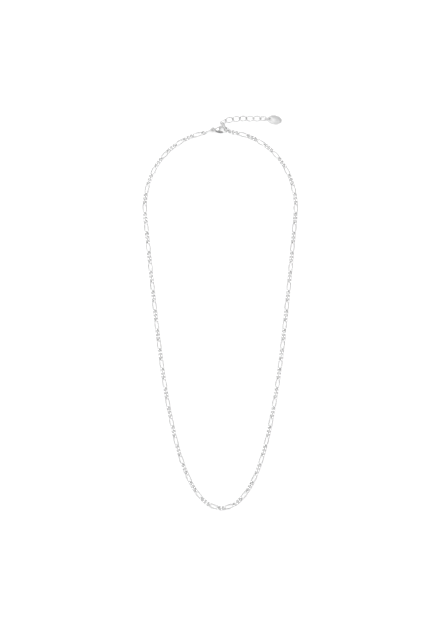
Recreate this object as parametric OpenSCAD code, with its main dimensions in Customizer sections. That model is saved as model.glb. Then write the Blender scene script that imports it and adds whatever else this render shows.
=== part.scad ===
/* [Chain] */
// Thickness of the chain's wire
wire_d = 0.66; // [0.5:0.02:0.7]
// Length that a long link adds to the chain, joint to joint
long_step = 6.25; // [5.5:0.05:7]
// Length that a short link adds to the chain, joint to joint
short_step = 2.36; // [2.3:0.02:2.5]
// Width between the wire centres of a short link
short_w = 2.12; // [2:0.02:2.2]
// Short links between one long link and the next
shorts_between = 3; // [1:1:4]
// Long links on each side
longs_a_side = 22; // [4:1:22]
// How far the ends of two joined links reach past each other
end_overlap = 0.86; // [0.84:0.01:0.92]

/* [Loop] */
// Width of the loop at its widest line
loop_w = 103.2; // [90:0.2:120]
// Height of the arch above the widest line
arch_h = 53.6; // [45:0.2:60]
// Depth of the hanging curve below the widest line
drop_h = 203.2; // [180:0.2:220]
// Roundness of the bottom of the loop
bottom_r = 14.8; // [12:0.2:18]
// How far the bottom of the loop lies to the right of its middle
lean = 0.9; // [0:0.1:2]

/* [Clasp] */
// Thickness of the clasp's housing
housing_t = 2.6; // [2.6:0.1:3]
// Thickness of the clasp's hook at its nose
hook_d = 0.86; // [0.8:0.02:0.9]
// Diameter of the rivet
rivet_d = 0.7; // [0.6:0.05:0.8]
// Gap round the rivet and beside the lever
running_gap = 0.05; // [0.04:0.01:0.08]
// How far the lever is pressed in
lever_open = 0; // [0:1:25]

/* [Extender and tag] */
// Thickness of the extender's wire
thin_d = 0.6; // [0.5:0.02:0.62]
// Length of the tag
tag_l = 9.8; // [9:0.1:12]
// Width of the tag
tag_w = 6; // [5:0.1:7]
// Thickness of the tag
tag_t = 0.8; // [0.6:0.1:1]

/* [Hidden] */

silver = "silver";
dark_silver = "gainsboro";

// The part's origin lies this far below the widest line of the loop
centre_drop = 69.99;

// Height of the chain's middle above the surface
chain_z = 0.94;
long_turn = 30;
long_end_r = 1.2;
short_turn = 56;
short_square = 2.6;
short_sides = 10;
short_wire_sides = 5;

// Half width of the hanging curve at height h above its lowest point
function hang(h) = bottom_r * ln(1 + h / bottom_r + sqrt((1 + h / bottom_r) ^ 2 - 1));
flare = loop_w / 2 - hang(drop_h);
arch_square = 2.1;
path_steps = 200;

// Right half of the loop's line, from its lowest point up the side and over the arch to the top
path = [
  for (i = [0:path_steps]) let (q = i / path_steps, h = drop_h * q * q)
    [hang(h) + flare * (q * q) ^ 4, h - drop_h],
  for (i = [1:path_steps]) let (t = 90 * i / path_steps)
    [loop_w / 2 * cos(t) ^ (2 / arch_square), arch_h * sin(t) ^ (2 / arch_square)]
];
// Length along that line at each of its points
path_s = [for (i = 0, s = 0; i < len(path); s = s + (i + 1 < len(path) ? norm(path[i + 1] - path[i]) : 0),
  i = i + 1) s];
path_x = [for (i = [0:len(path) - 1]) [path_s[i], path[i].x]];
path_y = [for (i = [0:len(path) - 1]) [path_s[i], path[i].y]];

// Point of the chain's line at distance s from the bottom, on one side of the loop
function on_loop(s, side) =
  let (y = lookup(s, path_y), shift = lean * max(0, -y) / drop_h)
  [side * lookup(s, path_x) + shift, y + centre_drop, chain_z];

// Where the links of one side start along the line, the bottom link first
long_period = long_step + shorts_between * short_step;
function long_start(i) = short_step + i * long_period;
function long_finish(i) = long_start(i) + long_step;
function short_starts(ends) = [
  0,
  for (i = [0:longs_a_side - 2]) for (k = [0:shorts_between - 1]) long_finish(i) + k * short_step,
  for (k = [0:1:ends - 1]) long_finish(longs_a_side - 1) + k * short_step
];

function unit(v) = v / norm(v);

// Frame whose X axis runs from one joint to the next, rolled about that axis
module between(from, to, roll = 0) {
  v = to - from;
  translate((from + to) / 2)
    rotate([0, -asin(v.z / norm(v)), atan2(v.y, v.x)])
      rotate([roll, 0, 0])
        children();
}

// A wire link: two half rings, each turned about the link's length, joined by two straight sides
kink_ball = 1.01;
module wire_link(step, end_r, turn, d, overlap = end_overlap, round_kinks = false) {
  shoulder = (step + overlap) / 2 - end_r;
  side = [2 * shoulder, 0, 2 * end_r * sin(turn)];
  for (half = [0, 180]) rotate([0, 0, half]) {
    translate([shoulder, 0, 0])
      rotate([turn, 0, 0])
        rotate([0, 0, -90])
          rotate_extrude(angle = 180, $fn = 48)
            translate([end_r, 0])
              circle(d = d, $fn = 20);
    translate([-shoulder, end_r * cos(turn), -end_r * sin(turn)])
      rotate([0, 90 - atan2(side.z, side.x), 0])
        cylinder(d = d, h = norm(side), $fn = 20);
    if (round_kinks)
      for (s = [-1, 1])
        translate([shoulder, s * end_r * cos(turn), s * end_r * sin(turn)])
          sphere(d = d * kink_ball, $fn = 20);
  }
}

// A round ring seen flat
module wire_ring(r, d) {
  rotate_extrude($fn = 64) translate([r, 0]) circle(d = d, $fn = 20);
}

// An oval link's shape: half length, half width, turn at its ends about its length, and squareness.
// Wire centre of such a link at angle t
function power(v, e) = (v < 0 ? -1 : 1) * abs(v) ^ e;
function oval_line(t, shape) =
  let (x = shape[0] * power(cos(t), 2 / shape[3]),
    r = shape[1] * power(sin(t), 2 / shape[3]),
    twist = shape[2] * x / shape[0])
  [x, r * cos(twist), r * sin(twist)];
// Corners of the wire round that centre
function wire_corners(t, shape, d, wire_sides) =
  let (along = unit(oval_line(t + 1, shape) - oval_line(t - 1, shape)),
    out = unit(cross(along, [0, 0, 1])),
    up = cross(along, out))
  [for (k = [0:wire_sides - 1]) let (g = 360 * k / wire_sides)
    oval_line(t, shape) + d / 2 * (out * cos(g) + up * sin(g))];
function link_points(shape, d, sides, wire_sides, first = 0) =
  [for (i = [0:sides - 1]) each wire_corners(360 * (i + first) / sides, shape, d, wire_sides)];
function link_faces(sides, wire_sides) = [
  for (i = [0:sides - 1]) for (k = [0:wire_sides - 1])
    let (a = i * wire_sides, b = (i + 1) % sides * wire_sides, k2 = (k + 1) % wire_sides)
    each [[a + k, b + k2, a + k2], [a + k, b + k, b + k2]]
];

// Short links are a little long at their corners, so that their flat-sided ends reach far enough
short_stretch = 0.97;
short_half_l = (short_step + end_overlap) / 2;
short_shape = [short_half_l / short_stretch, short_w / 2, short_turn / short_stretch, short_square];
short_points = link_points(short_shape, wire_d, short_sides, short_wire_sides, 0.5);
short_faces = link_faces(short_sides, short_wire_sides);

// Middle and direction of a short link between two joints
function short_place(from, to) = [(from + to) / 2, unit(to - from)];
// Point q of a short link, carried to its place
function carried(q, p) =
  let (u = p[1], across = unit([-u.y, u.x, 0]), up = cross(u, across))
  p[0] + u * q.x + across * q.y + up * q.z;

// All short links of one side in one shape
module short_links(places) {
  polyhedron(
    points = [for (p = places) for (q = short_points) carried(q, p)],
    faces = [for (i = [0:len(places) - 1]) for (f = short_faces) [for (v = f) v + i * len(short_points)]]);
}

module chain_side(side, ends, last_places = []) {
  color(silver) {
    for (i = [0:longs_a_side - 1])
      between(on_loop(long_start(i), side), on_loop(long_start(i) + long_step, side))
        wire_link(long_step, long_end_r, long_turn, wire_d);
    short_links([
      for (s = short_starts(ends)) short_place(on_loop(s, side), on_loop(s + short_step, side)),
      each last_places]);
  }
}

// Short links that follow the loop's line after the last long link of each side
left_shorts = 1;
right_shorts = 2;
// One more on the right rises from that line to the ring at the clasp
right_end = on_loop(long_finish(longs_a_side - 1) + right_shorts * short_step, 1);
right_lift = [-2.26, 0.68, 0.26];

// Place given from the middle of the loop's widest line, as a point of the part
function place(p) = [p.x, p.y + centre_drop, p.z];

// Clasp: its own frame has the eye's centre as origin, X towards the nose, and the surface at Z 0
eye_at = [-4.95, 54.7, 0];
clasp_turn = -3;
eye_r = 1.2;
eye_d = 0.85;
hook_at = [6.6, 0.6];
hook_r = 2;
hook_tip = -72;
hook_root = 150;
arm_d = 1.5;
arm_from = 108;
pivot_at = [2.95, -0.15];
slot_w = 0.9;
mid_z = housing_t / 2;
housing_outline = [[1.1, 0.6], [2.2, 1.4], [3.5, 2.3], [4.8, 2.8], [5.4, 2.3], [4.8, 1.3], [4.55, 0.4],
  [4.45, -0.8], [3.9, -1.05], [2.4, -0.75], [1.1, -0.5]];
slot_outline = [[1.75, -2.4], [1.75, 0.55], [2.5, 0.95], [4.2, 0.95], [5.7, 1.1], [5.7, -2.4]];
lever_outline = [[2.5, 0.2], [3.3, 0.6], [4.7, -0.55], [6.95, -1.12], [7.05, -1.35], [6.95, -1.68],
  [4.9, -1.8], [4.3, -1.95], [1.95, -1.3], [1.85, -1.05], [1.95, -0.75], [2.3, -0.6]];
lever_hub_r = 0.9;
lever_t = slot_w - 2 * running_gap;

module in_clasp() {
  translate(place(eye_at)) rotate([0, 0, clasp_turn]) children();
}

module hook_arc(from, to, d) {
  translate([hook_at.x, hook_at.y, mid_z])
    rotate([0, 0, from])
      rotate_extrude(angle = to - from, $fn = 64)
        translate([hook_r, 0])
          circle(d = d, $fn = 24);
}

module clasp_body() {
  color(silver) in_clasp() difference() {
    union() {
      translate([0, 0, mid_z]) wire_ring(eye_r, eye_d);
      linear_extrude(housing_t) polygon(housing_outline);
      hook_arc(hook_tip, arm_from + 2, hook_d);
      hook_arc(arm_from, hook_root, arm_d);
    }
    translate([0, 0, mid_z - slot_w / 2]) linear_extrude(slot_w) polygon(slot_outline);
    translate([pivot_at.x, pivot_at.y, -1]) cylinder(d = rivet_d, h = housing_t + 2, $fn = 32);
  }
}

module clasp_lever() {
  color(dark_silver) in_clasp()
    translate([pivot_at.x, pivot_at.y, mid_z - slot_w / 2 + running_gap])
      rotate([0, 0, lever_open])
        difference() {
          union() {
            translate(-pivot_at) linear_extrude(lever_t) polygon(lever_outline);
            cylinder(r = lever_hub_r, h = lever_t, $fn = 48);
          }
          translate([0, 0, -1]) cylinder(d = rivet_d + 2 * running_gap, h = lever_t + 2, $fn = 32);
        }
}

module clasp_rivet() {
  color(dark_silver) in_clasp()
    translate([pivot_at.x, pivot_at.y, 0])
      cylinder(d = rivet_d, h = housing_t, $fn = 32);
}

// A flat oval ring whose ends lie at two points
module oval_ring(from, to, end_r, roll, d) {
  between(place(from), place(to), roll) wire_link(norm(to - from), end_r, 0, d, 0);
}

module clasp_jump_ring() {
  color(silver) oval_ring([-10.5, 52.7, 1.24], [-5.2, 54.7, 1.26], 1, -65, 0.64);
}

// Round ring that the hook closes on: its back half stands higher than its front
end_ring_r = 1.82;
end_ring_at = [9.37, 0.41, 1.64];
end_ring_tilt = [42.2, -21.3, 0];
module end_jump_ring() {
  color(silver) in_clasp()
    translate(end_ring_at)
      rotate(end_ring_tilt)
        wire_ring(end_ring_r, thin_d);
}

// Extender: the first link is a flat ring over the hook, and the others follow these joints
first_link = [[1.18, 59.36, 1.68], [4.51, 54.63, 1.74]];
first_link_end_r = 1.4;
first_link_roll = -59.8;
extender_joints = [[0.67, 58.81, 1.98], [3.95, 61.1, 0.94], [8.66, 61.8, 0.8], [13.4, 62.4, 0.8],
  [17.8, 62.4, 0.8], [22.7, 62.3, 0.8], [27.4, 62.4, 0.94], [30.9, 62.4, 1.35]];
extender_overlap = 0.9;
// End radius, turn and roll of the two wire links, second and last
extender_wire = [[1.16, 22, 19.5], [1.35, 25.2, 0]];
// The links between those two are ovals
extender_w = 3.4;
extender_turn = 36;
extender_sides = 16;
extender_wire_sides = 6;
module oval_link(step) {
  shape = [(step + extender_overlap) / 2, extender_w / 2, extender_turn, 2];
  polyhedron(
    points = link_points(shape, thin_d, extender_sides, extender_wire_sides),
    faces = link_faces(extender_sides, extender_wire_sides));
}

module extender_link(i) {
  color(silver)
    if (i == 1) oval_ring(first_link[0], first_link[1], first_link_end_r, first_link_roll, thin_d);
    else {
      from = place(extender_joints[i - 2]);
      to = place(extender_joints[i - 1]);
      wire = extender_wire[i == 2 ? 0 : 1];
      if (i == 2 || i == 8) between(from, to, wire[2])
        wire_link(norm(to - from), wire[0], wire[1], thin_d, extender_overlap, round_kinks = true);
      else between(from, to) oval_link(norm(to - from));
    }
}

// Tag: lies on its far edge, with its ring under the near one, and has a low plain panel on its face
tag_at = [37.15, 61.44];
tag_yaw = -10;
tag_tilt = 5.08;
hole_r = 0.65;
hole_inset = 1.25;
border_w = 0.55;
panel_h = 0.12;
tag_sides = 60;
function oval_points(l, w) =
  [for (i = [0:tag_sides - 1]) let (t = 360 * i / tag_sides) [l / 2 * cos(t), w / 2 * sin(t)]];
module tag() {
  color(dark_silver)
    translate(place([tag_at.x, tag_at.y, tag_l / 2 * sin(tag_tilt) + 0.02]))
      rotate([0, 0, tag_yaw])
        rotate([0, tag_tilt, 0])
          difference() {
            union() {
              linear_extrude(tag_t - panel_h) polygon(oval_points(tag_l, tag_w));
              linear_extrude(tag_t) difference() {
                polygon(oval_points(tag_l - 2 * border_w, tag_w - 2 * border_w));
                translate([hole_inset - tag_l / 2, 0]) circle(r = hole_r + border_w, $fn = 48);
              }
            }
            translate([hole_inset - tag_l / 2, 0, -1]) cylinder(r = hole_r, h = 4, $fn = 48);
          }
}

module tag_ring() {
  color(silver) oval_ring([30.55, 62.16, 1.2], [33.75, 61.99, 1.21], 0.9, -74.6, thin_d);
}

chain_side(-1, left_shorts);  // chain_left
chain_side(1, right_shorts, [short_place(right_end, right_end + right_lift)]);  // chain_right
clasp_body();
clasp_lever();
clasp_rivet();
clasp_jump_ring();
end_jump_ring();
extender_link(1);  // extender_link_1
extender_link(2);  // extender_link_2
extender_link(3);  // extender_link_3
extender_link(4);  // extender_link_4
extender_link(5);  // extender_link_5
extender_link(6);  // extender_link_6
extender_link(7);  // extender_link_7
extender_link(8);  // extender_link_8
tag_ring();
tag();
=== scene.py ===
"""A silver-coloured figaro chain necklace lying on a pale table.

It is a closed loop of chain with a lobster clasp, an extender and an oval tag.
"""

import math
from collections import namedtuple

import bmesh
import bpy
import numpy as np
from bpy.props import FloatProperty, FloatVectorProperty, PointerProperty
from mathutils import Matrix, Vector


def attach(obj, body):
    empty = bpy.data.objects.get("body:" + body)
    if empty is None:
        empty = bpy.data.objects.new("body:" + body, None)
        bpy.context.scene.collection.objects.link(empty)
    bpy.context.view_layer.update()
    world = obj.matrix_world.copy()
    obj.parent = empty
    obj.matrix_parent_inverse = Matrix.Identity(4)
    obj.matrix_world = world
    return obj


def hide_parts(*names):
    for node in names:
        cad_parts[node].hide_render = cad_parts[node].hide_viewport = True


bl_info = {
    "name": "Figaro Chain Necklace",
    "version": (1, 0, 0),
    "blender": (4, 5, 0),
    "location": "3D View > Sidebar > Necklace",
    "description": "Dresses the packed necklace in twisted silver links, a cast clasp and a satin tag",
    "category": "Add Mesh",
}

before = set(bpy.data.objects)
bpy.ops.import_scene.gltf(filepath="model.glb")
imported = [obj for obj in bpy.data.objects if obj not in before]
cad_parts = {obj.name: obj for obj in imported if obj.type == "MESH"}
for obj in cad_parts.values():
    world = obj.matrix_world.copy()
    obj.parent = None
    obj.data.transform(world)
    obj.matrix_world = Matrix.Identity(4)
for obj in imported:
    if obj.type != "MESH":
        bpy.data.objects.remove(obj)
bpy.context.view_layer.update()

# Lengths below are in millimetres, as a jeweller gives them, and become metres as each mesh is made
MM = 0.001
FULL_TURN = 2 * math.pi
QUARTER_TURN = math.pi / 2

# The loop's line, measured from the middle of its widest line, which lies this far above the origin
CENTRE_DROP = 69.99
CHAIN_Z = 0.94
LOOP_W = 103.2
ARCH_H = 53.6
ARCH_SQUARE = 2.1
DROP_H = 203.2
BOTTOM_R = 14.8
# How late each side flares out from the hanging curve, as a power of the way up
FLARE_POWER = 8
# How far to the right of the middle the lowest point lies
LEAN = 0.9
LINE_STEPS = 400

# Links of the chain, each step from joint to joint and each turn in degrees
LONG_STEP = 6.25
LONG_END_R = 1.2
LONG_TURN = 30
LONG_POINTS = 72
LONGS_A_SIDE = 22
SHORT_STEP = 2.36
SHORT_W = 2.12
SHORT_TURN = 56
SHORT_SQUARE = 2.6
SHORT_POINTS = 52
SHORTS_BETWEEN = 3
END_OVERLAP = 0.86
CHAIN_SIDES = 12
# Depth below the chain's middle at which its underside is ground level
UNDER_CUT = 0.86

# Each half of the chain: its side, how many short links follow its last long one, and the step of one
# more short link that lifts to the end ring
Half = namedtuple("Half", "side top_shorts lifted_step")
CHAIN_HALVES = {
    "left": Half(-1, 1, None),
    "right": Half(1, 2, (-2.26, 0.68, 0.26)),
}

# Bending of wire: points round a half ring and round an oval, and how far into the end ring, as a share
# of its radius, the twist still grows
HALF_RING_POINTS = 48
OVAL_POINTS = 360
TWIST_REACH = 0.35

# Rounded edges, each with its width and the steps that round it
Edge = namedtuple("Edge", "width steps")

# Clasp: its own frame has the eye's centre as origin and X towards the nose
EYE_AT = (-4.95, 54.7, 0.0)
CLASP_TURN = -3
EYE_R = 1.2
EYE_D = 0.85
EYE_POINTS = 64
EYE_SIDES = 20
NECK_FROM = (0.9, 0.0)
NECK_TO = (2.2, 0.1)
NECK_R = 0.5
NECK_SIDES = 16
HOOK_AT = (6.6, 0.6)
HOOK_R = 2.0
HOOK_TIP = -72
HOOK_ROOT = 146
HOOK_D = 0.86
HOOK_POINTS = 120
HOOK_SIDES = 24
# The hook swells to the arm's thickness from this angle on, over this many degrees
ARM_D = 1.5
ARM_FROM = 84
ARM_OVER = 30
# Where the arm ends inside the housing, and its radius there
ROOT_AT = (3.6, 0.7)
ROOT_R = 0.5
ROOT_POINTS = 12
HOUSING_T = 2.6
MID_Z = HOUSING_T / 2
SLOT_T = 0.9
LEVER_T = 0.8
PIVOT = (2.95, -0.15)
PIVOT_SIDES = 32
HUB_R = 0.9
HUB_SIDES = 64
BORE_GAP = 0.05
LEVER_EDGE = Edge(0.22, 4)
HUB_EDGE = Edge(0.1, 3)

# Outlines of the clasp, as X and Y
HOUSING = [
    (1.1, 0.6), (2.2, 1.4), (3.5, 2.3), (4.8, 2.8), (5.4, 2.3), (4.8, 1.3), (4.55, 0.4),
    (4.45, -0.8), (3.9, -1.05), (2.4, -0.75), (1.1, -0.5),
]
SLOT = [(1.75, -2.4), (1.75, 0.55), (2.5, 0.95), (4.2, 0.95), (5.7, 1.1), (5.7, -2.4)]
LEVER = [
    (2.5, 0.2), (3.3, 0.6), (4.7, -0.55), (6.95, -1.12), (7.05, -1.35), (6.95, -1.68),
    (4.9, -1.8), (4.3, -1.95), (1.95, -1.3), (1.85, -1.05), (1.95, -0.75), (2.3, -0.6),
]
OUTLINE_POINTS = 160
HOUSING_ROUNDING = 40
LEVER_ROUNDING = 3

# The housing's cushion: where it is thickest, rings of each half, and how square its side and top are
CUSHION_TOP = (3.1, 0.1)
CUSHION_RINGS = 14
CUSHION_SIDE = 0.8
CUSHION_CROWN = 0.45

# Casting: strength and rounds of the smoothing, what the body then grows by, and the lever's grid
MELT = 0.5
BODY_MELTS = 5
BODY_GROWTH = 0.02
LEVER_MELTS = 3
LEVER_VOXEL = 0.05

# Rivet, from its lower end up: share of its radius, and height
RIVET_D = 0.7
RIVET_DOME = 0.05
RIVET_PROFILE = [
    (0.9, 0.0),
    (1.0, 0.04),
    (1.0, HOUSING_T - 0.03),
    (0.92, HOUSING_T + 0.2 * RIVET_DOME),
    (0.6, HOUSING_T + 0.7 * RIVET_DOME),
]

# Wire of the extender and of most of the rings
THIN_D = 0.6

# Rings of wire, each with its piece, its node, the two joints that it lies between, the radius of its
# ends, its roll in degrees and its wire's thickness
WireRing = namedtuple("WireRing", "piece node start end end_r roll wire")
WIRE_RINGS = (
    WireRing(
        "clasp_ring", "clasp_jump_ring", (-10.5, 52.7, 1.24), (-5.2, 54.7, 1.26), 1.0, -65, 0.64
    ),
    WireRing(
        "extender_ring", "extender_link_1", (1.18, 59.36, 1.68), (4.51, 54.63, 1.74), 1.4, -59.8, THIN_D
    ),
    WireRing(
        "tag_wire_ring", "tag_ring", (30.55, 62.16, 1.2), (33.75, 61.99, 1.21), 0.9, -74.6, THIN_D
    ),
)
RING_POINTS = 90
RING_SIDES = 16
RING_SLIT = 0.04
# The end ring is round and stands in the clasp's frame
END_RING_AT = (9.37, 0.41, 1.64)
END_RING_R = 1.82
END_RING_POINTS = 96
END_RING_SLIT_AT = 60
END_RING_PITCH = -21.3
END_RING_ROLL = 42.2

# Extender: the joints between its links, from the extender ring to the tag's ring
EXTENDER_JOINTS = [
    (0.67, 58.81, 1.98),
    (3.95, 61.1, 0.94),
    (8.66, 61.8, 0.8),
    (13.4, 62.4, 0.8),
    (17.8, 62.4, 0.8),
    (22.7, 62.3, 0.8),
    (27.4, 62.4, 0.94),
    (30.9, 62.4, 1.35),
]
FIRST_WIRE = 2
# The second and the eighth link are bent from wire; those between are twisted ovals
Bend = namedtuple("Bend", "end_r turn roll")
EXTENDER_BENDS = {2: Bend(1.16, 22, 19.5), 8: Bend(1.35, 25.2, 0)}
EXTENDER_OVERLAP = 0.9
EXTENDER_W = 3.4
EXTENDER_TURN = 36
EXTENDER_SQUARE = 2
EXTENDER_POINTS = 80

# Tag: its own frame has the middle of its underside as origin and X away from its ring
TAG_AT = (37.15, 61.44)
TAG_YAW = -10
TAG_TILT = 5.08
TAG_CLEAR = 0.02
TAG_L = 9.8
TAG_W = 6.0
TAG_T = 0.8
TAG_POINTS = 128
PLATE_EDGE = Edge(0.16, 4)
# The panel begins at this height inside the plate and stands so much above it
PANEL_FROM = 0.2
PANEL_H = 0.12
PANEL_EDGE = Edge(0.06, 2)
HOLE_R = 0.65
HOLE_INSET = 1.25
HOLE_SIDES = 64
# Heights below and above the tag between which its hole is cut
CUT_FROM = -2
CUT_TO = 3
# The last softening of the tag's edges, where faces meet at more than this angle in degrees
BEVEL_W = 0.045
BEVEL_STEPS = 3
BEVEL_ANGLE = 50

# Faces that meet at less than these angles in degrees are shaded as one
WIRE_CREASE = 38
CHAIN_CREASE = 34
CLASP_CREASE = 50
TAG_CREASE = 45

# Finishes: roughness where polished and where worn, brightness left by the painted shade in crevices,
# depth of the fine scratches, and how closely they lie along each axis
Finish = namedtuple("Finish", "polished worn crevice scratch grain")
FINISHES = {
    "Chain silver": Finish(0.1, 0.22, 0.9, 0.25, (9000, 2200, 2200)),
    "Ring silver": Finish(0.1, 0.22, 0.7, 0.2, (2500, 2500, 2500)),
    "Extender silver": Finish(0.1, 0.24, 0.7, 0.2, (2500, 2500, 2500)),
    "Clasp silver": Finish(0.1, 0.22, 0.45, 0.2, (1800, 1800, 1800)),
    "Lever silver": Finish(0.16, 0.3, 0.4, 0.3, (1800, 1800, 1800)),
    "Rivet silver": Finish(0.12, 0.26, 0.25, 0.2, (1800, 1800, 1800)),
    "Tag silver": Finish(0.4, 0.5, 0.6, 0.3, (700, 9000, 2000)),
}
# Brightness of the tarnished patches, and of the lever beside the clasp's body, whose silver is darkened
# as painted shade
TARNISH = 0.88
LEVER_PAINTED_SHADE = 0.2
# Patterns in the finishes: how closely they lie, their levels of detail and how rough these are
Pattern = namedtuple("Pattern", "scale detail roughness")
TARNISH_CLOUDS = Pattern(420.0, 4.0, 0.6)
WEAR_CLOUDS = Pattern(1500.0, 3.0, 0.55)
SCRATCH_LINES = Pattern(1.0, 5.0, 0.7)
# Values of a pattern, or of the openness round crevices, between which the finish and the painted shade in
# crevices change
TARNISH_RANGE = (0.35, 0.6)
WEAR_RANGE = (0.3, 0.7)
PAINTED_SHADE_RANGE = (0.25, 0.85)
PAINTED_SHADE_SAMPLES = 8
# Reach of the painted shade into crevices and depth of a full scratch, in metres, and the scratches' slant
PAINTED_SHADE_REACH = 0.0011
SCRATCH_DEPTH = 0.00003
SCRATCH_SLANT = 24

# Stage, in metres. The white cloth and the soft box begin at these cosines from the soft box's middle
TABLE_HALF = 3
TABLE_ROUGHNESS = 0.9
TABLE_GLOSS = 0.2
TABLE_GRAIN = 900.0
TABLE_DETAIL = 2.0
TABLE_SHADE = 0.99
SOFT_BOX_WAY = (-0.06, -0.06, 1)
CLOTH_FROM = 0.955
SOFT_BOX_FROM = 0.985
# Lamps: place, width, and power as a share of the key light's
Lamp = namedtuple("Lamp", "place width share")
LAMPS = {
    "Key": Lamp((-0.7, 0.6, 1.3), 0.7, 1.0),
    "Fill": Lamp((0.9, 0.4, 1.1), 0.5, 0.5),
    "Table": Lamp((0.05, 0.3, 1.3), 1.0, 0.6),
}
CAMERA_SIGHT = 10
# The photograph is 635 pixels high and shows this many millimetres of the table in each; the camera's
# place over the table, its lens and its sensor are in millimetres too
PHOTO_H = 635
PIXEL = 0.6818
CAMERA_AT = (-0.14, -3.32)
LENS = 120
SENSOR = 36


class ChainSettings(bpy.types.PropertyGroup):
    """Wire, ground faces and silver of the chain"""

    wire: FloatProperty(
        name="Wire",
        description="Thickness of the chain's wire",
        default=0.00068,
        min=0.0005,
        max=0.00072,
        unit="LENGTH",
    )
    short_cut: FloatProperty(
        name="Short links' cut",
        description="Height above the chain's middle at which the short links are ground flat",
        default=0.00072,
        min=0.0006,
        max=0.001,
        unit="LENGTH",
    )
    long_cut: FloatProperty(
        name="Long links' cut",
        description="Height above the chain's middle at which the long links are ground flat",
        default=0.00094,
        min=0.0006,
        max=0.001,
        unit="LENGTH",
    )
    colour: FloatVectorProperty(
        name="Silver",
        description="Colour of the polished silver of the chain, the rings and the extender",
        default=(0.95, 0.95, 0.95),
        min=0,
        max=1,
        subtype="COLOR",
    )


class ClaspSettings(bpy.types.PropertyGroup):
    """Silver of the clasp and the fineness of its casting"""

    colour: FloatVectorProperty(
        name="Silver",
        description="Colour of the cast silver of the clasp",
        default=(0.92, 0.92, 0.92),
        min=0,
        max=1,
        subtype="COLOR",
    )
    voxel: FloatProperty(
        name="Detail",
        description="Size of the grid that the clasp's cast form is blended on",
        default=0.00008,
        min=0.00005,
        max=0.0002,
        unit="LENGTH",
    )


class TagSettings(bpy.types.PropertyGroup):
    """Border and silver of the tag"""

    border: FloatProperty(
        name="Border",
        description="Width of the low border round the tag's plain panel",
        default=0.00055,
        min=0.0003,
        max=0.0012,
        unit="LENGTH",
    )
    colour: FloatVectorProperty(
        name="Silver",
        description="Colour of the satin silver of the tag",
        default=(0.95, 0.95, 0.95),
        min=0,
        max=1,
        subtype="COLOR",
    )


class StageSettings(bpy.types.PropertyGroup):
    """Colour of the table and strength of the lights"""

    floor: FloatVectorProperty(
        name="Table",
        description="Colour of the plain table",
        default=(0.93, 0.93, 0.93),
        min=0,
        max=1,
        subtype="COLOR",
    )
    key: FloatProperty(
        name="Key light",
        description="Power of the large light at the upper left, which the other lamps follow",
        default=9.0,
        min=0,
        subtype="POWER",
    )
    overhead: FloatProperty(
        name="Overhead light",
        description="Brightness of the soft box straight over the table",
        default=2.3,
        min=0,
    )
    sky: FloatProperty(
        name="Room light",
        description="Brightness of the white cloth round the soft box",
        default=0.58,
        min=0,
    )
    horizon: FloatProperty(
        name="Side light",
        description="Brightness of the room all round, low down",
        default=0.46,
        min=0,
    )


# Lines and frames


def hang(height):
    """Half width of the hanging curve at a height above its lowest point."""
    rise = 1 + height / BOTTOM_R
    return BOTTOM_R * np.log(rise + np.sqrt(rise**2 - 1))


def loop_line():
    """Right half of the loop, from its lowest point up the side and over the arch."""
    q = np.linspace(0, 1, LINE_STEPS + 1)
    rise = DROP_H * q**2
    flare = LOOP_W / 2 - hang(DROP_H)
    side = np.stack([hang(rise) + flare * q**FLARE_POWER, rise - DROP_H], 1)
    t = np.linspace(0, QUARTER_TURN, LINE_STEPS + 1)[1:]
    power = 2 / ARCH_SQUARE
    across = LOOP_W / 2 * np.clip(np.cos(t), 0, 1) ** power
    up = ARCH_H * np.sin(t) ** power
    return np.vstack([side, np.stack([across, up], 1)])


LOOP_LINE = loop_line()
LOOP_LENGTHS = np.concatenate([[0], np.cumsum(np.hypot(*np.diff(LOOP_LINE, axis=0).T))])


def on_loop(distance, side):
    """Point of the chain's line at a distance from the bottom, on the left (-1) or right (1) side."""
    x = np.interp(distance, LOOP_LENGTHS, LOOP_LINE[:, 0])
    y = np.interp(distance, LOOP_LENGTHS, LOOP_LINE[:, 1])
    return Vector((side * x + LEAN * max(0, -y) / DROP_H, y + CENTRE_DROP, CHAIN_Z))


def place(point):
    """Point given from the middle of the loop's widest line, as a point of the part."""
    return Vector((point[0], point[1] + CENTRE_DROP, point[2]))


def turned(degrees, axis):
    """Rotation about one axis."""
    return Matrix.Rotation(math.radians(degrees), 4, axis)


def between(start, end, roll=0):
    """Frame whose X axis runs from one joint to the next, rolled about that axis."""
    way = end - start
    return (
        Matrix.Translation((start + end) / 2)
        @ Matrix.Rotation(math.atan2(way.y, way.x), 4, "Z")
        @ Matrix.Rotation(-math.asin(way.z / way.length), 4, "Y")
        @ turned(roll, "X")
    )


def clasp_frame():
    """Frame of the clasp, under its eye's centre on the table."""
    return Matrix.Translation(place(EYE_AT)) @ turned(CLASP_TURN, "Z")


def tag_frame():
    """Frame of the tag, which rests on its far edge and is lifted at its ring."""
    lift = TAG_L / 2 * math.sin(math.radians(TAG_TILT)) + TAG_CLEAR
    return Matrix.Translation(place((*TAG_AT, lift))) @ turned(TAG_YAW, "Z") @ turned(TAG_TILT, "Y")


def closed_lengths(line):
    """A closed line with its first point repeated at its end, and the distance along it of each point."""
    around = np.vstack([line, line[:1]])
    steps = np.linalg.norm(np.diff(around, axis=0), axis=1)
    return around, np.concatenate([[0], np.cumsum(steps)])


def points_at(line, lengths, at):
    """Points at these distances along a line."""
    return np.stack([np.interp(at, lengths, line[:, k]) for k in range(3)], 1)


def even(line, count):
    """The same closed line with its points spread evenly."""
    around, lengths = closed_lengths(line)
    return points_at(around, lengths, np.linspace(0, lengths[-1], count, endpoint=False))


def opened(line, gap):
    """A closed line cut open, with its two ends this far apart."""
    around, lengths = closed_lengths(line)
    return points_at(around, lengths, np.linspace(gap / 2, lengths[-1] - gap / 2, len(line)))


def twisted(flat, twist):
    """A flat line with each point turned about the X axis by its own angle."""
    return np.stack([flat[:, 0], flat[:, 1] * np.cos(twist), flat[:, 1] * np.sin(twist)], 1)


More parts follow.
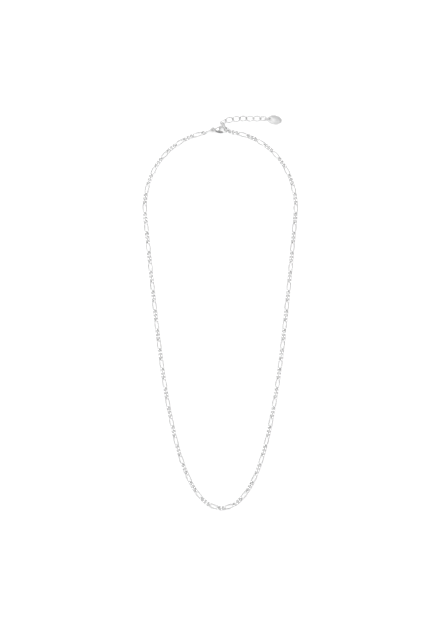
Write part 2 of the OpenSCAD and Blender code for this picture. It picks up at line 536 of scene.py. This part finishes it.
def wire_line(step, end_r, turn, overlap, count):
    """Centre of a wire link: two half rings joined by two sides, twisted smoothly from end to end."""
    shoulder = (step + overlap) / 2 - end_r
    t = np.linspace(-QUARTER_TURN, QUARTER_TURN, HALF_RING_POINTS)
    end = np.stack([shoulder + end_r * np.cos(t), end_r * np.sin(t), 0 * t], 1)
    flat = even(np.vstack([end, end * [-1, -1, 1]]), count)
    along = np.clip(flat[:, 0] / (shoulder + TWIST_REACH * end_r), -1, 1)
    return twisted(flat, math.radians(turn) * np.sin(QUARTER_TURN * along))


def oval_line(step, overlap, width, turn, square, count):
    """Centre of an oval link twisted about its length; a square of 2 is an ellipse, and more is boxier."""
    t = np.linspace(0, FULL_TURN, OVAL_POINTS, endpoint=False)
    half = (step + overlap) / 2
    x = half * np.sign(np.cos(t)) * np.abs(np.cos(t)) ** (2 / square)
    y = width / 2 * np.sign(np.sin(t)) * np.abs(np.sin(t)) ** (2 / square)
    return even(twisted(np.stack([x, y], 1), math.radians(turn) * x / half), count)


def arc_line(radius, start, end, count):
    """Points on a flat arc between two angles in degrees."""
    t = np.radians(np.linspace(start, end, count))
    return np.stack([radius * np.cos(t), radius * np.sin(t), 0 * t], 1)


def ring_line(radius, start, count):
    """Points round a flat circle from an angle in degrees."""
    return arc_line(radius, start, start + 360, count + 1)[:-1]


def oval(length, width, count, at=(0, 0)):
    """Outline of an ellipse round a point."""
    return [
        (at[0] + length / 2 * math.cos(a), at[1] + width / 2 * math.sin(a))
        for a in np.linspace(0, FULL_TURN, count, endpoint=False)
    ]


def circle(radius, count, at=(0, 0)):
    """Outline of a circle round a point."""
    return oval(2 * radius, 2 * radius, count, at)


def level(outline, z):
    """Ring of points with this outline at one height."""
    return np.column_stack([np.array(outline, float), np.full(len(outline), float(z))])


def rounded(outline, times):
    """A smooth closed outline through the rounded corners of a polygon."""
    line = even(level(outline, 0), OUTLINE_POINTS)
    for _ in range(times):
        line = (np.roll(line, 1, 0) + 2 * line + np.roll(line, -1, 0)) / 4
    return line[:, :2]


# Mesh building


def band(low, high, count):
    """Faces between two rings of points, from the number of each ring's first point."""
    return [(low + k, low + (k + 1) % count, high + (k + 1) % count, high + k) for k in range(count)]


def flat_capped(rings):
    """Points and faces of a stack of equal rings, with a flat face at each end."""
    count = len(rings[0])
    top = (len(rings) - 1) * count
    faces = [tuple(range(count))[::-1], tuple(range(top, top + count))]
    for low in range(0, top, count):
        faces += band(low, low + count, count)
    return np.vstack(rings), faces


def point_capped(bottom, rings, top):
    """Points and faces of a stack of equal rings, drawn in to a point at each end."""
    count = len(rings[0])
    points = np.vstack([[bottom], *rings, [top]])
    last = len(points) - 1
    faces = [(0, 1 + (k + 1) % count, 1 + k) for k in range(count)]
    for low in range(1, last - count, count):
        faces += band(low, low + count, count)
    faces += [(last - count + k, last - count + (k + 1) % count, last) for k in range(count)]
    return points, faces


def tube(line, radii, sides, closed=True):
    """Points and faces of round wire along a line, with flat ends unless it is closed."""
    line = np.asarray(line, float)
    if closed:
        along = np.roll(line, -1, 0) - np.roll(line, 1, 0)
    else:
        along = np.gradient(line, axis=0)
    along /= np.linalg.norm(along, axis=1)[:, None]
    out = np.cross(along, [0, 0, 1])
    out /= np.linalg.norm(out, axis=1)[:, None]
    up = np.cross(along, out)
    g = np.linspace(0, FULL_TURN, sides, endpoint=False)
    radii = np.broadcast_to(radii, (len(line),))[:, None, None]
    round_it = out[:, None] * np.cos(g)[None, :, None] + up[:, None] * np.sin(g)[None, :, None]
    rings = line[:, None] + radii * round_it
    if not closed:
        return flat_capped(rings)
    faces = []
    for row in range(len(line)):
        faces += band(row * sides, (row + 1) % len(line) * sides, sides)
    return rings.reshape(-1, 3), faces


def prism(outline, low, high):
    """Closed slab with this outline."""
    return flat_capped([level(outline, low), level(outline, high)])


def pillow(outline, middle, low, high):
    """Cushion-shaped slab: its full outline at mid height, rising to its thickest over its middle."""
    o = np.array(outline, float)
    c = np.array(middle)
    half = (high - low) / 2
    rings = []
    for a in np.linspace(-QUARTER_TURN, QUARTER_TURN, 2 * CUSHION_RINGS + 1)[1:-1]:
        z = (low + high) / 2 + half * np.sign(a) * abs(math.sin(a)) ** CUSHION_SIDE
        rings.append(level(c + (o - c) * math.cos(a) ** CUSHION_CROWN, z))
    return point_capped((*middle, low), rings, (*middle, high))


def domed(outline, low, high, edge):
    """Slab whose rim is rounded over towards both faces by shrinking the outline in steps."""
    o = np.array(outline, float)
    way = np.roll(o, -1, 0) - np.roll(o, 1, 0)
    normal = np.stack([way[:, 1], -way[:, 0]], 1)
    normal /= np.linalg.norm(normal, axis=1)[:, None]
    if ((o - o.mean(0)) * normal).sum() < 0:
        normal = -normal
    turns = np.linspace(0, QUARTER_TURN, edge.steps + 1)
    rim = [(edge.width * (1 - math.sin(a)), low + edge.width * (1 - math.cos(a))) for a in turns]
    rim += [(inset, low + high - z) for inset, z in rim[::-1]]
    return flat_capped([level(o - normal * inset, z) for inset, z in rim])


def carried(shape, matrix):
    """Shape moved to its place."""
    points, faces = shape
    m = np.array(matrix)
    return points @ m[:3, :3].T + m[:3, 3], faces


def joined(shapes):
    """One shape from several."""
    points = []
    faces = []
    base = 0
    for p, f in shapes:
        points.append(p)
        faces += [tuple(v + base for v in face) for face in f]
        base += len(p)
    return np.vstack(points), faces


def outward(mesh):
    """Turn every face of a mesh outwards."""
    b = bmesh.new()
    b.from_mesh(mesh)
    bmesh.ops.recalc_face_normals(b, faces=b.faces)
    b.to_mesh(mesh)
    b.free()


def shade(mesh, crease):
    """Shade a mesh smooth, but sharp where it turns by more than the crease."""
    mesh.polygons.foreach_set("use_smooth", [True] * len(mesh.polygons))
    mesh.set_sharp_from_angle(angle=math.radians(crease))
    mesh.update()


def raw_mesh(name, points, faces):
    """Mesh of these points and faces, all facing outwards."""
    mesh = bpy.data.meshes.new(name)
    mesh.from_pydata(points.tolist(), [], faces)
    outward(mesh)
    return mesh


def mesh_of(name, shape, crease=WIRE_CREASE):
    """Finished mesh in metres of a shape in millimetres."""
    points, faces = shape
    mesh = raw_mesh(name, points * MM, faces)
    shade(mesh, crease)
    return mesh


def add_piece(name, mesh, material, body, node):
    """Object for one piece: in place, on its body, standing for its CAD node."""
    piece = bpy.data.objects.new(name, mesh)
    bpy.context.scene.collection.objects.link(piece)
    mesh.materials.clear()
    mesh.materials.append(material)
    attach(piece, body)
    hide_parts(node)


def loose(name, shape):
    """Object in millimetres that is only a step towards a piece."""
    made = bpy.data.objects.new(name, raw_mesh(name, *shape))
    bpy.context.scene.collection.objects.link(made)
    return made


def carve(body, how, tool):
    """Join a tool to a loose object, or cut it away."""
    cut = body.modifiers.new(how.title(), "BOOLEAN")
    cut.operation = how
    cut.solver = "EXACT"
    cut.object = tool


def applied(body, tools):
    """Mesh of a loose object with its modifiers applied; the object and its tools are cleared away."""
    bpy.context.view_layer.update()
    done = bpy.data.meshes.new_from_object(body.evaluated_get(bpy.context.evaluated_depsgraph_get()))
    done.name = body.name
    for spare in [body, *tools]:
        mesh = spare.data
        bpy.data.objects.remove(spare)
        bpy.data.meshes.remove(mesh)
    return done


def cast(name, shapes, voxel, melts, cutter, grow=0.0):
    """One blended form from overlapping closed shapes, with a crisp cut, still in millimetres."""
    raw = loose(name, joined(shapes))
    blend = raw.modifiers.new("Blend", "REMESH")
    blend.mode = "VOXEL"
    blend.voxel_size = voxel
    blend.use_smooth_shade = True
    melt = raw.modifiers.new("Melt", "SMOOTH")
    melt.factor = MELT
    melt.iterations = melts
    if grow:
        swell = raw.modifiers.new("Swell", "DISPLACE")
        swell.strength = grow
        swell.mid_level = 0
    tool = loose(f"{name}_tool", cutter)
    carve(raw, "DIFFERENCE", tool)
    return applied(raw, [tool])


def settle(mesh, matrix, crease):
    """Carry a mesh in millimetres to its place in metres, and shade it."""
    mesh.transform(Matrix.Diagonal((MM, MM, MM, 1)) @ matrix)
    shade(mesh, crease)


# Materials


def shader_node(tree, kind, **values):
    """Node with its sockets and settings given by name."""
    made = tree.nodes.new(kind)
    for key, value in values.items():
        if key in made.inputs:
            made.inputs[key].default_value = value
        else:
            setattr(made, key, value)
    return made


def noise(tree, vector, pattern):
    """Cloudy pattern at the points of a vector socket."""
    made = tree.nodes.new("ShaderNodeTexNoise")
    for key, value in zip(("Scale", "Detail", "Roughness"), pattern):
        made.inputs[key].default_value = value
    tree.links.new(vector, made.inputs["Vector"])
    return made.outputs["Fac"]


def ranged(tree, value, known, wanted):
    """Value carried from a known range to a wanted one."""
    made = tree.nodes.new("ShaderNodeMapRange")
    for key, bound in zip(("From Min", "From Max", "To Min", "To Max"), (*known, *wanted)):
        made.inputs[key].default_value = bound
    tree.links.new(value, made.inputs["Value"])
    return made.outputs["Result"]


def ramp(tree, value, stops):
    """Colours between two or more stops, each a position and a colour."""
    made = tree.nodes.new("ShaderNodeValToRGB")
    elements = made.color_ramp.elements
    for _ in stops[2:]:
        elements.new(0.5)
    for element, (at, colour) in zip(elements, stops):
        element.position = at
        element.color = (*colour, 1)
    tree.links.new(value, made.inputs["Fac"])
    return made.outputs["Color"]


def silver(name, colour):
    """Polished metal: faint tarnish, painted shade in crevices and between touching links, uneven polish
    and fine scratches.
    """
    finish = FINISHES[name]
    material = bpy.data.materials.new(name)
    material.use_nodes = True
    tree = material.node_tree
    tree.nodes.clear()
    out = tree.nodes.new("ShaderNodeOutputMaterial")
    shader = shader_node(tree, "ShaderNodeBsdfPrincipled", Metallic=1.0)
    tree.links.new(shader.outputs["BSDF"], out.inputs["Surface"])
    where = tree.nodes.new("ShaderNodeTexCoord").outputs["Object"]

    tarnished = [c * TARNISH for c in colour]
    cloud = noise(tree, where, TARNISH_CLOUDS)
    tint = ramp(tree, cloud, list(zip(TARNISH_RANGE, (tarnished, colour))))
    # Painted shade: the base colour darkens where the surface is hemmed in, in crevices and between
    # touching links
    crevice = shader_node(
        tree, "ShaderNodeAmbientOcclusion", Distance=PAINTED_SHADE_REACH, samples=PAINTED_SHADE_SAMPLES
    )
    painted_shade = ranged(tree, crevice.outputs["AO"], PAINTED_SHADE_RANGE, (finish.crevice, 1.0))
    mix = shader_node(tree, "ShaderNodeMix", data_type="RGBA", blend_type="MULTIPLY")
    mix.inputs["Factor"].default_value = 1.0
    tree.links.new(tint, mix.inputs["A"])
    tree.links.new(painted_shade, mix.inputs["B"])
    tree.links.new(mix.outputs["Result"], shader.inputs["Base Color"])

    wear = noise(tree, where, WEAR_CLOUDS)
    polish = ranged(tree, wear, WEAR_RANGE, (finish.polished, finish.worn))
    tree.links.new(polish, shader.inputs["Roughness"])

    stretch = shader_node(tree, "ShaderNodeMapping", Scale=finish.grain)
    stretch.inputs["Rotation"].default_value = (0, 0, math.radians(SCRATCH_SLANT))
    tree.links.new(where, stretch.inputs["Vector"])
    lines = noise(tree, stretch.outputs["Vector"], SCRATCH_LINES)
    bump = shader_node(tree, "ShaderNodeBump", Strength=finish.scratch, Distance=SCRATCH_DEPTH)
    tree.links.new(lines, bump.inputs["Height"])
    tree.links.new(bump.outputs["Normal"], shader.inputs["Normal"])
    return material


def table_paper(name, colour):
    """Matt white card with a trace of grain."""
    material = bpy.data.materials.new(name)
    material.use_nodes = True
    tree = material.node_tree
    shader = tree.nodes["Principled BSDF"]
    shader.inputs["Roughness"].default_value = TABLE_ROUGHNESS
    shader.inputs["Specular IOR Level"].default_value = TABLE_GLOSS
    grain = shader_node(tree, "ShaderNodeTexNoise", Scale=TABLE_GRAIN, Detail=TABLE_DETAIL)
    shaded = [c * TABLE_SHADE for c in colour]
    card = ramp(tree, grain.outputs["Fac"], ((0.0, shaded), (1.0, colour)))
    tree.links.new(card, shader.inputs["Base Color"])
    return material


# Pieces


def long_starts():
    """Distances along the loop at which the long links of one half begin."""
    period = LONG_STEP + SHORTS_BETWEEN * SHORT_STEP
    return [SHORT_STEP + i * period for i in range(LONGS_A_SIDE)]


def short_starts(top_shorts):
    """The same for its short links, with this many after the last long one."""
    longs = long_starts()
    starts = [0.0]
    starts += [s + LONG_STEP + k * SHORT_STEP for s in longs[:-1] for k in range(SHORTS_BETWEEN)]
    return starts + [longs[-1] + LONG_STEP + k * SHORT_STEP for k in range(top_shorts)]


def ground(link, cut):
    """Link with its upper side ground flat at this height, and its underside level."""
    points, faces = link
    return np.column_stack([points[:, :2], np.clip(points[:, 2], -UNDER_CUT, cut)]), faces


def half_chain(half, long_link, short_link):
    """All the links of one half, each laid between its two joints on the loop."""
    laid = []
    for link, step, starts in (
        (long_link, LONG_STEP, long_starts()),
        (short_link, SHORT_STEP, short_starts(half.top_shorts)),
    ):
        for s in starts:
            laid.append(carried(link, between(on_loop(s, half.side), on_loop(s + step, half.side))))
    if half.lifted_step:
        joint = on_loop(short_starts(half.top_shorts)[-1] + SHORT_STEP, half.side)
        laid.append(carried(short_link, between(joint, joint + Vector(half.lifted_step))))
    return joined(laid)


class NECKLACE_OT_chain(bpy.types.Operator):
    """Make both halves of the chain from long and short twisted links, ground flat on both faces"""

    bl_idname = "necklace.chain"
    bl_label = "Chain"

    def execute(self, context):
        settings = context.scene.necklace_chain
        finish = silver("Chain silver", settings.colour)
        radius = settings.wire / MM / 2
        long_line = wire_line(LONG_STEP, LONG_END_R, LONG_TURN, END_OVERLAP, LONG_POINTS)
        short_line = oval_line(SHORT_STEP, END_OVERLAP, SHORT_W, SHORT_TURN, SHORT_SQUARE, SHORT_POINTS)
        long_link = ground(tube(long_line, radius, CHAIN_SIDES), settings.long_cut / MM)
        short_link = ground(tube(short_line, radius, CHAIN_SIDES), settings.short_cut / MM)
        for side, half in CHAIN_HALVES.items():
            name = f"chain_{side}_links"
            mesh = mesh_of(name, half_chain(half, long_link, short_link), CHAIN_CREASE)
            add_piece(name, mesh, finish, "necklace", f"chain_{side}")
        return {"FINISHED"}


def add_ring(name, line, wire, matrix, finish, node):
    """Ring of round wire along a closed line, with the fine slit where it was bent shut."""
    shape = tube(opened(line, RING_SLIT), wire / 2, RING_SIDES, closed=False)
    mesh = mesh_of(name, carried(shape, matrix))
    add_piece(name, mesh, finish, "necklace", node)


class NECKLACE_OT_rings(bpy.types.Operator):
    """Make the rings at the clasp and at both ends of the extender, each with its fine slit"""

    bl_idname = "necklace.rings"
    bl_label = "Rings"

    def execute(self, context):
        finish = silver("Ring silver", context.scene.necklace_chain.colour)
        for ring in WIRE_RINGS:
            start = place(ring.start)
            end = place(ring.end)
            line = wire_line((end - start).length, ring.end_r, 0, 0, RING_POINTS)
            add_ring(ring.piece, line, ring.wire, between(start, end, ring.roll), finish, ring.node)
        stand = Matrix.Translation(END_RING_AT) @ turned(END_RING_PITCH, "Y") @ turned(END_RING_ROLL, "X")
        line = ring_line(END_RING_R, END_RING_SLIT_AT, END_RING_POINTS)
        add_ring("end_ring", line, THIN_D, clasp_frame() @ stand, finish, "end_jump_ring")
        return {"FINISHED"}


class NECKLACE_OT_extender(bpy.types.Operator):
    """Make the extender's seven twisted links"""

    bl_idname = "necklace.extender"
    bl_label = "Extender"

    def execute(self, context):
        finish = silver("Extender silver", context.scene.necklace_chain.colour)
        joints = [place(joint) for joint in EXTENDER_JOINTS]
        for number, (start, end) in enumerate(zip(joints, joints[1:]), FIRST_WIRE):
            step = (end - start).length
            bend = EXTENDER_BENDS.get(number)
            if bend:
                line = wire_line(step, bend.end_r, bend.turn, EXTENDER_OVERLAP, EXTENDER_POINTS)
            else:
                line = oval_line(
                    step, EXTENDER_OVERLAP, EXTENDER_W, EXTENDER_TURN, EXTENDER_SQUARE, EXTENDER_POINTS
                )
            matrix = between(start, end, bend.roll if bend else 0)
            name = f"extender_wire_{number}"
            mesh = mesh_of(name, carried(tube(line, THIN_D / 2, RING_SIDES), matrix))
            add_piece(name, mesh, finish, "necklace", f"extender_link_{number}")
        return {"FINISHED"}


def hook():
    """Round hook that swells from its nose into the arm and runs down into the housing."""
    t = np.linspace(HOOK_TIP, HOOK_ROOT, HOOK_POINTS)
    swell = np.clip((t - ARM_FROM) / ARM_OVER, 0, 1)
    radii = HOOK_D / 2 + (ARM_D - HOOK_D) / 2 * swell**2 * (3 - 2 * swell)
    arc = arc_line(HOOK_R, HOOK_TIP, HOOK_ROOT, HOOK_POINTS) + (*HOOK_AT, MID_Z)
    root = np.linspace(arc[-1], (*ROOT_AT, MID_Z), ROOT_POINTS)[1:]
    root_radii = np.linspace(radii[-1], ROOT_R, len(root))
    return tube(np.vstack([arc, root]), np.append(radii, root_radii), HOOK_SIDES, closed=False)


def clasp_body(voxel):
    """Cast body: eye, neck, housing and hook in one, with the lever's slot cut through."""
    eye = tube(ring_line(EYE_R, 0, EYE_POINTS) + (0, 0, MID_Z), EYE_D / 2, EYE_SIDES)
    housing = pillow(rounded(HOUSING, HOUSING_ROUNDING), CUSHION_TOP, 0.0, HOUSING_T)
    neck = tube([(*NECK_FROM, MID_Z), (*NECK_TO, MID_Z)], NECK_R, NECK_SIDES, closed=False)
    slot = prism(SLOT, MID_Z - SLOT_T / 2, MID_Z + SLOT_T / 2)
    return cast("clasp_cast", [eye, housing, hook(), neck], voxel, BODY_MELTS, slot, BODY_GROWTH)


def clasp_lever():
    """Thin lever with its hub, bored for the rivet."""
    low = MID_Z - LEVER_T / 2
    high = MID_Z + LEVER_T / 2
    plate = domed(rounded(LEVER, LEVER_ROUNDING), low, high, LEVER_EDGE)
    hub = domed(circle(HUB_R, HUB_SIDES, PIVOT), low, high, HUB_EDGE)
    bore = prism(circle(RIVET_D / 2 + BORE_GAP, PIVOT_SIDES, PIVOT), 0, HOUSING_T)
    return cast("clasp_trigger", [plate, hub], LEVER_VOXEL, LEVER_MELTS, bore)


class NECKLACE_OT_clasp(bpy.types.Operator):
    """Make the lobster clasp: its cast body with eye and hook, and its sprung lever"""

    bl_idname = "necklace.clasp"
    bl_label = "Clasp"

    def execute(self, context):
        settings = context.scene.necklace_clasp
        body = clasp_body(settings.voxel / MM)
        settle(body, clasp_frame(), CLASP_CREASE)
        finish = silver("Clasp silver", settings.colour)
        add_piece("clasp_cast", body, finish, "necklace", "clasp_body")

        lever = clasp_lever()
        settle(lever, clasp_frame(), CLASP_CREASE)
        # The lever's silver is darkened to a share of the clasp's colour, as painted shade
        lever_painted_shade_finish = silver("Lever silver", [c * LEVER_PAINTED_SHADE for c in settings.colour])
        add_piece("clasp_trigger", lever, lever_painted_shade_finish, "lever", "clasp_lever")
        return {"FINISHED"}


class NECKLACE_OT_rivet(bpy.types.Operator):
    """Make the pin of the lever, with a low dome on its upper end"""

    bl_idname = "necklace.rivet"
    bl_label = "Rivet"

    def execute(self, context):
        finish = silver("Rivet silver", context.scene.necklace_clasp.colour)
        rings = [level(circle(share * RIVET_D / 2, PIVOT_SIDES), z) for share, z in RIVET_PROFILE]
        pin = point_capped((0, 0, 0), rings, (0, 0, HOUSING_T + RIVET_DOME))
        matrix = clasp_frame() @ Matrix.Translation((*PIVOT, 0))
        mesh = mesh_of("rivet_pin", carried(pin, matrix))
        add_piece("rivet_pin", mesh, finish, "necklace", "clasp_rivet")
        return {"FINISHED"}


def tag_plate(border):
    """Oval plate with a low panel on its face, cut back round the hole, and softened edges."""
    face = TAG_T - PANEL_H
    hole_at = (HOLE_INSET - TAG_L / 2, 0)
    raw = loose("tag_plate", domed(oval(TAG_L, TAG_W, TAG_POINTS), 0.0, face, PLATE_EDGE))
    panel_outline = oval(TAG_L - 2 * border, TAG_W - 2 * border, TAG_POINTS)
    panel = loose("tag_panel", domed(panel_outline, PANEL_FROM, TAG_T, PANEL_EDGE))
    bite = loose("tag_bite", prism(circle(HOLE_R + border, HOLE_SIDES, hole_at), face, CUT_TO))
    hole = loose("tag_hole", prism(circle(HOLE_R, HOLE_SIDES, hole_at), CUT_FROM, CUT_TO))
    carve(panel, "DIFFERENCE", bite)
    carve(raw, "UNION", panel)
    carve(raw, "DIFFERENCE", hole)
    edge = raw.modifiers.new("Edge", "BEVEL")
    edge.width = BEVEL_W
    edge.segments = BEVEL_STEPS
    edge.limit_method = "ANGLE"
    edge.angle_limit = math.radians(BEVEL_ANGLE)
    return applied(raw, [panel, bite, hole])


class NECKLACE_OT_tag(bpy.types.Operator):
    """Make the oval tag: rounded edge, low plain panel, and a hole for its ring"""

    bl_idname = "necklace.tag"
    bl_label = "Tag"

    def execute(self, context):
        settings = context.scene.necklace_tag
        tag = tag_plate(settings.border / MM)
        settle(tag, tag_frame(), TAG_CREASE)
        finish = silver("Tag silver", settings.colour)
        add_piece("tag_plate", tag, finish, "necklace", "tag")
        return {"FINISHED"}


def lay_table(scene, colour):
    """Plain square of white card."""
    corners = [(x * TABLE_HALF, y * TABLE_HALF, 0) for x, y in ((-1, -1), (1, -1), (1, 1), (-1, 1))]
    mesh = bpy.data.meshes.new("table")
    mesh.from_pydata(corners, [], [(0, 1, 2, 3)])
    mesh.materials.append(table_paper("Table paper", colour))
    table = bpy.data.objects.new("table", mesh)
    scene.collection.objects.link(table)


def hang_cloth(scene, settings):
    """White cloth all round the room, with a soft box overhead."""
    world = bpy.data.worlds.new("Studio")
    world.use_nodes = True
    tree = world.node_tree
    way = tree.nodes.new("ShaderNodeTexCoord")
    facing = shader_node(tree, "ShaderNodeVectorMath", operation="DOT_PRODUCT")
    facing.inputs[1].default_value = Vector(SOFT_BOX_WAY).normalized()
    tree.links.new(way.outputs["Generated"], facing.inputs[0])
    lights = ((0.0, settings.horizon), (CLOTH_FROM, settings.sky), (SOFT_BOX_FROM, settings.overhead))
    cloth = ramp(tree, facing.outputs["Value"], [(at, (bright,) * 3) for at, bright in lights])
    tree.links.new(cloth, tree.nodes["Background"].inputs["Color"])
    scene.world = world


def set_lamps(scene, key):
    """Soft round lamps that light the table but aren't mirrored in the silver."""
    for name, lamp in LAMPS.items():
        light = bpy.data.lights.new(name, "AREA")
        light.shape = "DISK"
        light.size = lamp.width
        light.energy = key * lamp.share
        stand = bpy.data.objects.new(name, light)
        stand.location = lamp.place
        stand.rotation_euler = (-Vector(lamp.place)).to_track_quat("-Z", "Y").to_euler()
        stand.visible_glossy = False
        scene.collection.objects.link(stand)


def set_camera(scene):
    """Camera straight over the table, at the height that gives the photograph's scale."""
    camera = bpy.data.cameras.new("Camera")
    camera.sensor_fit = "VERTICAL"
    camera.sensor_height = SENSOR
    camera.sensor_width = SENSOR
    camera.lens = LENS
    camera.clip_end = CAMERA_SIGHT
    eye = bpy.data.objects.new("Camera", camera)
    eye.location = (CAMERA_AT[0] * MM, CAMERA_AT[1] * MM, PHOTO_H * PIXEL * MM * LENS / SENSOR)
    scene.collection.objects.link(eye)
    scene.camera = eye


class NECKLACE_OT_stage(bpy.types.Operator):
    """Lay out the pale table, the soft lights and the camera that looks straight down"""

    bl_idname = "necklace.stage"
    bl_label = "Stage"

    def execute(self, context):
        scene = context.scene
        settings = scene.necklace_stage
        lay_table(scene, settings.floor)
        hang_cloth(scene, settings)
        set_lamps(scene, settings.key)
        set_camera(scene)
        scene.view_settings.view_transform = "Standard"
        return {"FINISHED"}


class NECKLACE_PT_panel(bpy.types.Panel):
    """The necklace's settings and the steps that make it"""

    bl_label = "Necklace"
    bl_idname = "NECKLACE_PT_panel"
    bl_space_type = "VIEW_3D"
    bl_region_type = "UI"
    bl_category = "Necklace"

    def draw(self, context):
        for group, names in (
            ("necklace_chain", ("wire", "short_cut", "long_cut", "colour")),
            ("necklace_clasp", ("voxel", "colour")),
            ("necklace_tag", ("border", "colour")),
            ("necklace_stage", ("floor", "key", "overhead", "sky", "horizon")),
        ):
            box = self.layout.box()
            for name in names:
                box.prop(getattr(context.scene, group), name)
        for operator in STEPS:
            self.layout.operator(operator.bl_idname)


SETTINGS = {
    "necklace_chain": ChainSettings,
    "necklace_clasp": ClaspSettings,
    "necklace_tag": TagSettings,
    "necklace_stage": StageSettings,
}
STEPS = (
    NECKLACE_OT_stage,
    NECKLACE_OT_chain,
    NECKLACE_OT_rings,
    NECKLACE_OT_extender,
    NECKLACE_OT_clasp,
    NECKLACE_OT_rivet,
    NECKLACE_OT_tag,
)
CLASSES = (*SETTINGS.values(), *STEPS, NECKLACE_PT_panel)


def register():
    for cls in CLASSES:
        bpy.utils.register_class(cls)
    for name, cls in SETTINGS.items():
        setattr(bpy.types.Scene, name, PointerProperty(type=cls))


def unregister():
    for name in SETTINGS:
        delattr(bpy.types.Scene, name)
    for cls in reversed(CLASSES):
        bpy.utils.unregister_class(cls)


def main():
    """Make the whole necklace and its stage."""
    register()
    for step in STEPS:
        group, name = step.bl_idname.split(".")
        getattr(getattr(bpy.ops, group), name)()


if __name__ == "__main__":
    main()
